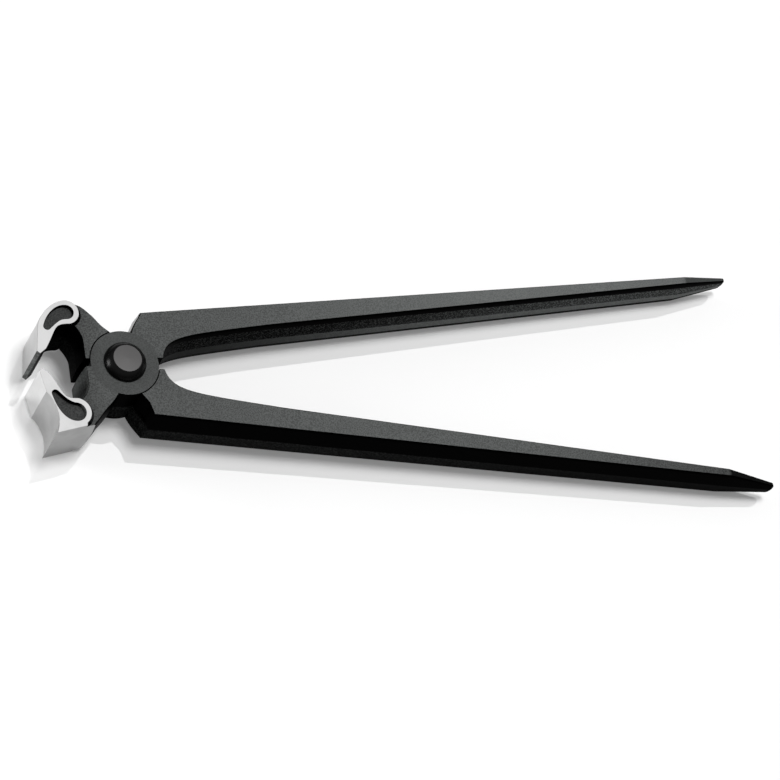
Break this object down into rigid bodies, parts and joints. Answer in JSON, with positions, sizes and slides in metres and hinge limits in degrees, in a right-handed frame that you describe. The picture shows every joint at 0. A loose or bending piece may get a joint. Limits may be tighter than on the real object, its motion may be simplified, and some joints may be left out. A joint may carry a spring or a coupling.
{
  "type": "farriers pincers",
  "caption": "Farriers pincers with long tapering handles, crossed at a riveted lap joint, and ground jaws with a square hammer corner, for gripping and pulling hoof nails.",
  "frame": {"origin": "on the pivot axis, at the centre of the rivet's flat rear tail, in the plane of the jaws' rear faces", "axes": "+X from the pivot towards the handle tips, +Y towards the front lever's handle, +Z along the rivet towards its raised head"},
  "size_m": [0.299, 0.0944, 0.0249],
  "materials": {
    "forged_steel": "black oxide on forged steel, jaws ground bright",
    "rivet_steel": "black oxide, satin"
  },
  "bodies": {
    "front": {"front_lever": "forged_steel", "pivot_rivet": "rivet_steel"},
    "rear": {"rear_lever": "forged_steel"}
  },
  "joints": [
    {"name": "pivot", "type": "hinge", "parent": "front", "child": "rear", "pos_m": [0, 0, 0.0109], "axis": [0, 0, -1], "range_deg": [-10.4, 32]}
  ]
}
